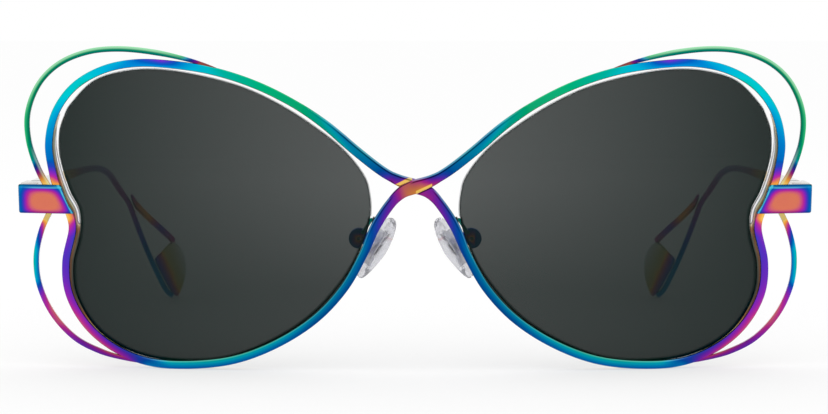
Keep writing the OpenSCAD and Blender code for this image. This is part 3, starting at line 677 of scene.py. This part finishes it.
# Plating along the lens edge from beside the nose: distance, film at the wire's inner edge and at
# the outer, which sets the gold's tone with its painted shade and highlights
wire_tone_and_light = np.array([
    (70, .60, .48), (76, .80, .50), (80, 1, .48), (84, 1.1, .46), (88, 1.1, .48), (92, 1.1, .46),
    (95.5, 1.1, .46), (97, .50, .60), (99, .12, .78), (104, .12, .80), (108, .05, .78),
    (112, .30, .85), (118, .8, .8), (126, .93, .93), (140, .93, .93), (147, .4, .4),
    (152, .10, .15)])
# How far the wire's edges lie outside the lens edge, by points of the lens line
wire_outer = [14.5, 15.3, 16.2, 17.4], [1.35, 1.6, 1.5, 0.85]
wire_inner = ([wire_start, 13.2, wire_meets, 16.6, 17.4, 26.8, 27.9],
              [1.0, 0.64, 0.36, 0.16, 0.03, 0.03, 0.5])
nose_end_out, nose_end_w = 0.67, 0.36

for name, side in both_sides:
    at_point = np.arange(len(lens_edge)) / lens_steps
    outer, inner = np.interp(at_point, *wire_outer), np.interp(at_point, *wire_inner)
    start = wire_start * lens_steps
    line = np.vstack([beside(lens_edge, (outer + inner) / 2)[start:],
                      beside(lens_edge, nose_end_out)[:1]])
    half_width = np.append((outer - inner)[start:], nose_end_w) / 2
    distance = np.append(lens_walked, lens_walked[-1])[start:]
    film_inner, film_outer = columns_at(wire_tone_and_light, distance)
    front_bar(f"{name}_lens_wire", gold.material, line * [side, 1], half_width, strand_d, wire_d,
              (film_inner, film_outer)[::side], rounding=0.16)


# Lens threads: clear nylon line, stretched tight in the groove of the lens where the wire leaves it
# bare, from beside the nose over the top to where the wire comes to the lens.
thread_w, thread_d, thread_back, thread_sunk = 0.44, 0.4, 2.1, 0.03
nylon = Finish("clear_nylon", Base_Color=linear("F4F6F8"), IOR=1.5, Transmission_Weight=1.0,
               Alpha=0.4)
nylon.shade(Roughness=0.12 + 0.1 * nylon.noise(900))

for name, side in both_sides:
    line = beside(lens_edge, -thread_sunk)[:wire_meets * lens_steps + 1]
    front_bar(f"{name}_lens_thread", nylon.material, line * [side, 1], thread_w / 2, thread_back,
              thread_d, (0, 0), rounding=0.18)


# Lenses: sheets of tinted nylon 1.8 mm thick, moulded to the ball of the front, with a polished
# bevel and a groove cut round the edge. The tint is darkest towards the temples.
lens_back, lens_t = 1.4, 1.8
lens_middle = np.array([38, 29])
tint = Finish("tinted_lens", Base_Color=(0.0, 0.010, 0.0075, 1), Roughness=0.03, IOR=1.5,
              Specular_IOR_Level=0.12)
# How much light gets through at the temples, and what the nose side and its upper part add
temple_light, nose_light, top_light = 0.017, 0.033, 0.05
temple_x, top_from, top_over = 68, 15.6, 20
spot_x, _, spot_z = tint.spot()
nasal = (1 - spot_x.size() / temple_x).above_zero()
upward = ((spot_z - top_from) / top_over).share()
through = temple_light + nasal * (nose_light + top_light * upward) + 0.001 * tint.noise(60)
# Each of the two faces lets the square root of the whole tint through. The groove is clear where
# the thread lies in it, and the rim is darker where the ridge of the lens wire shows, as that ridge
# in painted shade.
rim = tint.own("rim")
clear = through.maths("SQRT") * (1 - 0.4 * rim.above_zero())
tint.shade(Alpha=(1 - clear) * (1 - 0.65 * (-rim).above_zero()))


def rings_mesh(name, rings, finish, own=None, sharp=None):
    """A closed skin through rings of points, with a fan over each end. Its own attributes are
    numbers, or rows of three, for the middle of the first ring, each ring and the last middle."""
    count = len(rings[0])
    points = np.vstack([rings[0].mean(axis=0), *rings, rings[-1].mean(axis=0)])
    faces = [(0, 1 + (i + 1) % count, 1 + i) for i in range(count)]
    for k in range(len(rings) - 1):
        first = 1 + k * count
        faces += [(first + i, first + (i + 1) % count, first + count + (i + 1) % count,
                   first + count + i) for i in range(count)]
    last = 1 + (len(rings) - 1) * count
    faces += [(last + i, last + (i + 1) % count, len(points) - 1) for i in range(count)]
    mesh = bpy.data.meshes.new(name)
    mesh.from_pydata(points * mm, [], faces)
    for attribute, values in (own or {}).items():
        values = np.array(values(points) if callable(values) else values, float)
        kind, field = ("FLOAT", "value") if values.ndim == 1 else ("FLOAT_VECTOR", "vector")
        mesh.attributes.new(attribute, kind, "POINT").data.foreach_set(field, values.ravel())
    mesh.materials.append(finish)
    mesh.shade_smooth()
    tidy(mesh)
    if sharp:
        mesh.set_sharp_from_angle(angle=math.radians(sharp))
    return linked(name, mesh)


# A lens in section: share of the way from its middle, how far out from the edge, how deep
sheet = [(share, 0, 0) for share in np.linspace(0.06, 0.96, 12)]
groove = [(1, 0, 0.65), (1, -0.3, 0.65), (1, -0.3, 1.15), (1, 0, 1.15)]
lens_section = [
    *sheet, (1, -0.55, 0), (1, -0.4, 0), (1, -0.12, 0), (1, 0, 0.12), *groove,
    (1, 0, lens_t - 0.12), (1, -0.12, lens_t), (1, -0.4, lens_t), (1, -0.55, lens_t),
    *((share, 0, lens_t) for share, _, _ in reversed(sheet))]

for name, side in both_sides:
    on_wire = np.arange(len(lens_edge)) > (wire_meets + 0.5) * lens_steps
    rings, rim_rings = [], []
    for share, out, depth in lens_section:
        x, z = (lens_middle + share * (beside(lens_edge, out) - lens_middle)).T
        rings.append(np.column_stack([side * x, front_y_at(x, z, lens_back + depth), z]))
        in_groove = 0.6 < depth < 1.2
        at_rim = share == 1 and out > -0.5
        rim_rings.append(np.where(on_wire, float(at_rim), -1.0 * in_groove))
    lens = rings_mesh(f"{name}_lens_sheet", rings, tint.material,
                      own={"rim": [0, *np.ravel(rim_rings), 0]}, sharp=35)
    fitted(lens, f"{name}_lens")


# Plaques: domed caps of stamped steel over the corners of the front, brazed on and rainbow plated.
# The film is thickest at the rounded edges and thins out to copper in the middle.
plaque_corners = [
    (75.55, 34.8), (67.2, 34.8), (66.35, 32.4), (65.7, 30.9), (64.5, 29.3), (75.4, 29.3)]
plaque_middle = np.array([70.6, 31.9])
plaque_half = 2.75
plaque_top, plaque_foot, plaque_end = 34.7, 29.3, 75.4
slant_top, slant_foot = np.array([67.2, plaque_top]), np.array([64.5, plaque_foot])
# From the back over the rounded edge to the domed face: how far in, how deep
plaque_section = [
    (0.5, 0.85), (0.08, 0.85), (0, 0.75), (0, -0.02), (0.05, -0.16), (0.16, -0.28), (0.34, -0.37),
    (0.6, -0.43), (0.8, -0.45), (1, -0.47), (1.25, -0.48), (1.5, -0.49), (1.75, -0.495), (2, -0.5),
    (2.3, -0.5), (2.6, -0.5)]
# The pale cyan edge colour is a painted highlight
plated_plaque = plated("plated_plaque", 0.22, "62E2EC", rim=0.02, fade=0.2)


def rounded_outline(corners, radius, steps):
    """A closed outline with its corners rounded off, and points every few tenths of a mm."""
    corners = np.array(corners, float)
    outline = []
    for before, corner, after in zip(np.roll(corners, 1, axis=0), corners,
                                     np.roll(corners, -1, axis=0)):
        start = corner + radius * unit(before - corner)
        end = corner + radius * unit(after - corner)
        outline += [(1 - t) ** 2 * start + 2 * t * (1 - t) * corner + t * t * end
                    for t in np.linspace(0, 1, steps)]
        far = after + radius * unit(corner - after)
        outline += [end + t * (far - end) for t in np.linspace(0, 1, 9)[1:-1]]
    return np.array(outline)


def from_slant(points):
    """Distance in from the plaque's slanted edge."""
    inward = unit(np.array([slant_top[1] - slant_foot[1], slant_foot[0] - slant_top[0]]))
    return ((np.abs(points[:, 0]) - slant_top[0]) * inward[0]
            + (points[:, 2] - slant_top[1]) * inward[1])


def plaque_film(points):
    """Film by the distance in from the nearest edge, blended softly from one edge to the next."""
    x, z = np.abs(points[:, 0]), points[:, 2]
    depths = np.column_stack([(plaque_top - z) * 1.05, (plaque_end - x) * 0.62,
                              from_slant(points) * 0.8, 0.85 + (z - plaque_foot) * 0.95])
    blend = 1.7
    near = 0.15 - np.log(np.exp(-depths * blend).sum(axis=1)) / blend
    return np.interp(near, [-0.35, 0.0, 0.3, 0.6, 0.85, 1.15, 1.7],
                     [0.72, 0.63, 0.57, 0.48, 0.36, 0.25, 0.165])


def plaque_shade(points):
    """Painted shade where the rounded top, foot and end turn away from the light."""
    above, below = points[:, 2] - 34.55, 29.55 - points[:, 2]
    beyond = np.abs(points[:, 0]) - 75.3
    return (0.05 + np.interp(above, [-0.2, 0.05], [0, 0.6])
            + np.interp(below, [-0.25, 0], [0, 0.35]) + np.interp(beyond, [-0.25, 0], [0, 0.3]))


def plaque_bevel_lighting(points):
    """The painted highlight line along the slanted edge, and along the top behind its rounded rim.
    """
    top = np.abs(34.25 - points[:, 2])
    slant = np.abs(from_slant(points) - 0.4)
    reach = np.interp(np.abs(points[:, 0]), [72.5, 74.8], [0.8, 0.1])
    return np.column_stack([np.minimum(top, slant), np.zeros(len(points)), reach])


for name, side in both_sides:
    outline = rounded_outline(plaque_corners, radius=0.45, steps=7)[::side]
    rings = []
    for inset, depth in plaque_section:
        share = min(inset / plaque_half, 0.97)
        x, z = (outline + (plaque_middle - outline) * share).T
        rings.append(np.column_stack([side * x, front_y_at(x, z, depth), z]))
    cap = rings_mesh(f"{name}_plaque_cap", rings, plated_plaque,
                     own={"film": plaque_film, "dull": plaque_shade, "band": plaque_bevel_lighting})
    fitted(cap, f"{name}_end_plaque")


# Hinges: a lug with two outer knuckles brazed behind each plaque, a leaf with the middle knuckle
# brazed to the temple, and a slotted dark nickel screw through them. Lug and leaf are small steel
# castings with softened edges.
def softened(node, finish, width, film=None):
    """A copy of a frame node's solid with its edges rounded off, in place of the node. It can have
    a film."""
    mesh = frame["nodes"][node].data.copy()
    mesh.materials.clear()
    mesh.materials.append(finish)
    shape = bmesh.new()
    shape.from_mesh(mesh)
    bmesh.ops.remove_doubles(shape, verts=shape.verts, dist=2e-6)
    bmesh.ops.dissolve_degenerate(shape, dist=2e-6, edges=shape.edges)
    bmesh.ops.dissolve_limit(shape, angle_limit=math.radians(2), verts=shape.verts,
                             edges=shape.edges)
    shape.to_mesh(mesh)
    shape.free()
    piece = linked(node + "_finished", mesh)
    edges = piece.modifiers.new("soft_edges", "BEVEL")
    edges.width, edges.segments = width * mm, 2
    edges.limit_method, edges.angle_limit = "ANGLE", math.radians(40)
    edges.use_clamp_overlap = True
    evaluated = piece.evaluated_get(bpy.context.evaluated_depsgraph_get())
    piece.data = bpy.data.meshes.new_from_object(evaluated)
    piece.modifiers.clear()
    piece.data.shade_smooth()
    piece.data.set_sharp_from_angle(angle=math.radians(30))
    if film:
        points = np.array([vertex.co for vertex in piece.data.vertices]) / mm
        attribute = piece.data.attributes.new("film", "FLOAT", "POINT")
        attribute.data.foreach_set("value", film(points))
    fitted(piece, node)


def cloudy(name, metallic, stops, cloud, roughness):
    """Metal with soft clouds of two tones. Its roughness is a middle, a spread and a scale."""
    finish = Finish(name, Metallic=metallic)
    middle, spread, scale = roughness
    finish.shade(Base_Color=finish.ramp(stops, 0.5 + finish.noise(cloud)),
                 Roughness=middle + spread * finish.noise(scale))
    return finish


steel = cloudy("hinge_steel", 1.0, [(0.35, "C9C6C2"), (0.65, "E4E2DE")], 300, (0.25, 0.12, 800))
steel.grain(3000, 0.08)
nickel = cloudy("dark_nickel", 0.8, [(0.4, "34302E"), (0.6, "4E4640")], 700, (0.3, 0.1, 1500))

for name in ("left", "right"):
    softened(f"{name}_end_piece", steel.material, 0.1)
    softened(f"{name}_hinge_leaf", steel.material, 0.08)
    softened(f"{name}_hinge_screw", nickel.material, 0.05)


# Temples: bars of plated steel, hammered from a thin tall blade at the hinge to a round wire that
# turns down behind the ear and becomes the outer wire of the open tip. The inner wire is brazed on
# at the split.
arm_x, arm_z = 74.3, 33.3
arm_front_t, arm_front_h = 1.4, 3.2
arm_rear_t, arm_rear_h, branch_w = 1.3, 1.4, 1.2
arm_line = [
    (arm_x, 19.95, arm_z), (arm_x, 24.5, arm_z), (arm_x, 30.5, arm_z), (73.2, 42, 33.6),
    (71.6, 62, 34), (70.1, 82, 34), (69.2, 96, 33.1), (68.4, 105, 31.4), (67.7, 111.5, 29),
    (66.8, 116, 26.6)]
arm_steps = 8
# The open tip lies in a slanted plane, and its lines are drawn along and across that plane
tip_start = np.array([65.4, 120, 24.14])
tip_along = unit(np.array([-0.207, 0.689, -0.695]))
tip_normal = unit(np.cross(tip_along, [-0.792, 0.299, 0.532]))
tip_across = np.cross(tip_normal, tip_along)
outer_branch = [
    (0, -0.3), (6, -0.5), (12, -0.7), (19, -0.8), (26, -0.7), (31.5, -0.4), (34.2, 0.3)]
inner_branch = [(-1.8, 1.05), (1.7, 1.2), (6, 2.2), (11, 3.7), (15, 4.9), (18.6, 5.9)]
# Distance along the wire, and film there. With no film, at the front, the arm is silver-white:
# bare steel with a painted highlight
arm_plating = [
    (0, 0), (24, 0), (32, .04), (38, .06), (48, .26), (60, .30), (75, .33), (85, .30), (96, .27),
    (106, .30), (114, .40), (122, .58), (130, .62), (140, .60)]
branch_plating = [(0, .24), (4, .10), (9, .06), (14, .30), (20, .20)]
plated_temple = plated("plated_temple", 0.2, "A8CCBC")


def on_tip(points, out=0.0):
    """Points of the open tip, from their places along and across its slanted plane."""
    points = np.array(points, float)
    return tip_start + points[:, :1] * tip_along + points[:, 1:2] * tip_across + out * tip_normal


def free_bar(node, finish, line, side, thick, high, plating, **more):
    """A bar along a line in the room, its height kept as upright as its direction allows."""
    line = (line + [0, front_y, 0]) * [side, 1, 1]
    along = heading(line)
    across = unit(np.cross(along, [0, 0, 1]))
    film = np.interp(walked(line), *np.array(plating).T)
    bar(node, finish, line, across, np.cross(across, along), (thick / 2, high / 2), (film, film),
        **more)


for name, side in both_sides:
    line = smooth_line([*arm_line, *on_tip(outer_branch)], arm_steps)
    point = np.arange(len(line))
    # It tapers from the line's third point to its sixth, and again past the split
    taper = eased((point - 2 * arm_steps) / (3 * arm_steps))
    past_split = np.clip((point - 8.5 * arm_steps) / arm_steps, 0, 1)
    thick = arm_front_t + (arm_rear_t - arm_front_t) * taper + (branch_w - arm_rear_t) * past_split
    high = arm_front_h + (arm_rear_h - arm_front_h) * taper + (branch_w - arm_rear_h) * past_split
    free_bar(f"{name}_temple_arm", plated_temple, line, side, thick, high, arm_plating,
             rounding=0.55)
    line = smooth_line(on_tip(inner_branch), arm_steps)
    thick = np.interp(np.arange(len(line)), [0, 9], [0.5, branch_w])
    free_bar(f"{name}_temple_branch", plated_temple, line, side, thick, thick, branch_plating,
             rounding=0.24, edge_film=0.05, corner_steps=6)


# Temple tips: leaf-shaped paddles that close the open ends of the temples. They are cut from plate,
# with both faces domed and polished, and brazed between the two wires.
paddle_edge = [
    (18.9, 5.2), (20.6, 6.5), (23.5, 7), (27, 6.7), (30.8, 5.4), (33.6, 3.6), (35.45, 1.8),
    (34.9, 1.05), (31.6, 0.4), (26, 0.05), (21.5, -0.05), (20.4, 0.4), (19.8, 2.3)]
paddle_middle = np.array([27.5, 3])
paddle_t = 1.4
# The upper face: share of the way from the middle to the edge, and height as a share of paddle_t
paddle_dome = [(0.3, 0.49), (0.6, 0.46), (0.84, 0.4), (0.93, 0.33), (0.98, 0.22), (1, 0.08)]
plated_tip = plated("plated_tip", 0.24, "A8CCBC")


def paddle_film(points):
    mirrored = points * [np.sign(points[0, 0]), 1, 1]
    across = (mirrored - [0, front_y, 0] - tip_start) @ tip_across
    return np.interp(across, [-0.2, 0.8, 1.8, 2.6, 7], [0.44, 0.32, 0.2, 0.03, 0.0])


for name, side in both_sides:
    outline = smooth_loop(paddle_edge, 6)
    rings = []
    for share, out in [(share, -out) for share, out in paddle_dome] + paddle_dome[::-1]:
        ring = on_tip(paddle_middle + share * (outline - paddle_middle), out * paddle_t)
        rings.append((ring + [0, front_y, 0]) * [side, 1, 1])
    paddle = rings_mesh(f"{name}_paddle", rings, plated_tip, own={"film": paddle_film})
    fitted(paddle, f"{name}_temple_tip")


# Nose pad mounts: a bent wire brazed to the back of the lens wire, a small round box at its end,
# and a screw through the box that holds the tab of the pad's metal core. Arm and box are rainbow
# plated with the frame, and screw and core are bright steel.
pad_x, pad_y, pad_z = 10.7, 9.5, 24.6
pad_lean = math.radians(30)
box_r, arm_r = 1.9, 0.34
arm_up = box_r - 0.55
arm_root = np.array([8.2, front_y_at(8.2, 28.5, 3.2) - front_y - 0.1, 28.5])
arm_end = np.array([pad_x - arm_up * math.sin(pad_lean), pad_y - 1.45,
                    pad_z + arm_up * math.cos(pad_lean)])
# From the back of the lens wire round to the top of the box
arm_points = [arm_root, arm_root + [0.1, 1.5, -0.1], (8.9, 6.2, 27.4), (9.7, 6.8, 26.1),
              arm_end - [0, 0.7, 0], arm_end]
# Painted light: the mount glows faintly in its own colours, where it lies in shade behind the lens
plated_mount = plated("plated_mount", 0.3, "A8CCBC", glow=0.2)
bright = cloudy("screw_steel", 1.0, [(0.4, "D5D5D3"), (0.6, "EDEDEA")], 900, (0.2, 0.1, 1500))
core = cloudy("core_steel", 0.6, [(0.4, "C8C8CE"), (0.6, "E2E2E6")], 900, (0.35, 0.1, 1500))


def box_film(points):
    """From copper round the screw to blue at the rim."""
    out = np.hypot(np.abs(points[:, 0]) - pad_x, points[:, 2] - pad_z)
    return np.interp(out, [0.5, 1.2, 1.9], [0.12, 0.3, 0.52])


for name, side in both_sides:
    line = (smooth_line(arm_points, 8) + [0, front_y, 0]) * [side, 1, 1]
    along = heading(line)
    across = unit(np.cross(along, [0.6 * side, 0, 0.8]))
    bar(f"{name}_pad_arm", plated_mount, line, across, np.cross(across, along), (arm_r, arm_r),
        (0.78, 0.78), rounding=0.33, dull=(0.7, 0.7))
    softened(f"{name}_pad_box", plated_mount, 0.12, film=box_film)
    softened(f"{name}_pad_screw", bright.material, 0.04)
    softened(f"{name}_pad_core", core.material, 0.04)


# Nose pads: clear soft silicone, moulded round the metal cores, with full round edges. Two slits
# and a short mark over the core are painted dark on the skin.
pad_len, pad_w, pad_t, pad_reach = 13, 7, 2.2, 3.8
pad_turn = math.radians(25)
pad_power = 2.6
# Each slit's place across at the height slit_z, its lower and upper end, and how dark it is
slits = [(6.31, 24.2, 25.7, 0.9), (6.31, 21.5, 23.7, 0.95), (7.86, 26.3, 27.9, 0.5)]
slit_z, slit_lean, slit_half = 23.6, 0.73, 0.3
silicone = Finish("clear_silicone", IOR=1.33, Transmission_Weight=0.75)
spot_x, _, spot_z = silicone.spot()
in_slit = 0
for slit_x, low, high, strength in slits:
    off_slit = (spot_x.size() - slit_x + (spot_z - slit_z) * slit_lean) * 0.81
    on_slit = (1 - off_slit.size() / slit_half).share()
    between = ((spot_z - low) / 0.2).share() * ((high - spot_z) / 0.2).share()
    in_slit = in_slit + strength * on_slit * between
silicone.shade(Base_Color=silicone.ramp([(0, "F2F2F6"), (1, "2A2622")], in_slit),
               Roughness=0.08 + 0.08 * silicone.noise(300))

for name, side in both_sides:
    turns = np.linspace(0, 2 * math.pi, 48, endpoint=False)
    rings = []
    for k in np.linspace(-1, 1, 15):
        share = max((1 - abs(k) ** pad_power) ** (1 / pad_power), 0.02)
        out = k * pad_t / 2
        # The lower half narrows towards its end
        lower = np.clip(-np.sin(turns), 0, 1)
        width = share ** 0.6 * pad_w / 2 * np.cos(turns) * (1 - 0.45 * lower)
        length = share ** 0.45 * pad_len / 2 * np.sin(turns)
        # The pad turns towards the back and then leans to the nose
        px = -pad_reach + out * math.cos(pad_turn) + width * math.sin(pad_turn)
        py = -out * math.sin(pad_turn) + width * math.cos(pad_turn)
        x = pad_x + px * math.cos(pad_lean) - length * math.sin(pad_lean)
        z = pad_z + px * math.sin(pad_lean) + length * math.cos(pad_lean)
        rings.append(np.column_stack([side * x, front_y + pad_y + py, z]))
    pad = rings_mesh(f"{name}_pad_skin", rings, silicone.material)
    fitted(pad, f"{name}_nose_pad")
